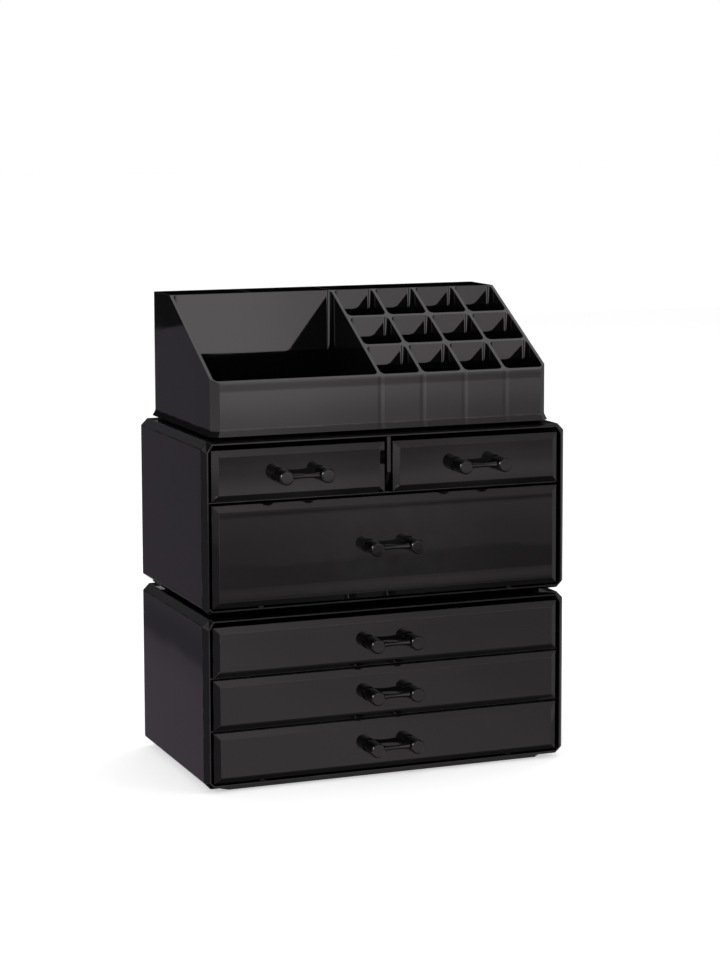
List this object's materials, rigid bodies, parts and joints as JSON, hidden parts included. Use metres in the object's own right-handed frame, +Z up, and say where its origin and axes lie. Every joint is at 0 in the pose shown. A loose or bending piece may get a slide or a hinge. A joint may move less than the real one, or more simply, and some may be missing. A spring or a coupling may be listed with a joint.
{
  "type": "makeup organizer",
  "caption": "Black stacking makeup organizer with sliding drawers and an open tray with a sloped grid of lipstick cells on top.",
  "frame": {"origin": "on the surface it stands on, under the middle of the whole object's box", "axes": "+Z up, -Y to the front, where the drawers open, +X to the right of someone who faces the front"},
  "size_m": [0.24, 0.1448, 0.2963],
  "materials": {
    "case": "black moulded plastic, high gloss",
    "drawer": "black moulded plastic, high gloss",
    "handle": "black moulded plastic, high gloss",
    "tray": "black moulded plastic, gloss",
    "screw": "bright steel"
  },
  "bodies": {
    "lower_case": {"lower_case_shell": "case", "lower_case_shelf_1": "case", "lower_case_shelf_2": "case"},
    "upper_case": {"upper_case_shell": "case", "upper_case_shelf": "case", "upper_case_divider": "case"},
    "lower_drawer_1": {"lower_drawer_1": "drawer", "lower_drawer_1_handle": "handle", "lower_drawer_1_screw_left": "screw", "lower_drawer_1_screw_right": "screw"},
    "lower_drawer_2": {"lower_drawer_2": "drawer", "lower_drawer_2_handle": "handle", "lower_drawer_2_screw_left": "screw", "lower_drawer_2_screw_right": "screw"},
    "lower_drawer_3": {"lower_drawer_3": "drawer", "lower_drawer_3_handle": "handle", "lower_drawer_3_screw_left": "screw", "lower_drawer_3_screw_right": "screw"},
    "upper_drawer_wide": {"upper_drawer_wide": "drawer", "upper_drawer_wide_handle": "handle", "upper_drawer_wide_screw_left": "screw", "upper_drawer_wide_screw_right": "screw"},
    "upper_drawer_left": {"upper_drawer_left": "drawer", "upper_drawer_left_handle": "handle", "upper_drawer_left_screw_left": "screw", "upper_drawer_left_screw_right": "screw"},
    "upper_drawer_right": {"upper_drawer_right": "drawer", "upper_drawer_right_handle": "handle", "upper_drawer_right_screw_left": "screw", "upper_drawer_right_screw_right": "screw"},
    "top_tray": {"top_tray": "tray"}
  },
  "joints": [
    {"name": "lower_drawer_1_slide", "type": "slide", "parent": "lower_case", "child": "lower_drawer_1", "axis": [0, -1, 0], "range_m": [0, 0.1]},
    {"name": "lower_drawer_2_slide", "type": "slide", "parent": "lower_case", "child": "lower_drawer_2", "axis": [0, -1, 0], "range_m": [0, 0.1]},
    {"name": "lower_drawer_3_slide", "type": "slide", "parent": "lower_case", "child": "lower_drawer_3", "axis": [0, -1, 0], "range_m": [0, 0.1]},
    {"name": "upper_drawer_wide_slide", "type": "slide", "parent": "upper_case", "child": "upper_drawer_wide", "axis": [0, -1, 0], "range_m": [0, 0.1]},
    {"name": "upper_drawer_left_slide", "type": "slide", "parent": "upper_case", "child": "upper_drawer_left", "axis": [0, -1, 0], "range_m": [0, 0.1]},
    {"name": "upper_drawer_right_slide", "type": "slide", "parent": "upper_case", "child": "upper_drawer_right", "axis": [0, -1, 0], "range_m": [0, 0.1]},
    {"name": "upper_case_lift", "type": "slide", "parent": "lower_case", "child": "upper_case", "axis": [0, 0, 1], "range_m": [0, 0.06]},
    {"name": "top_tray_lift", "type": "slide", "parent": "upper_case", "child": "top_tray", "axis": [0, 0, 1], "range_m": [0, 0.06]}
  ]
}
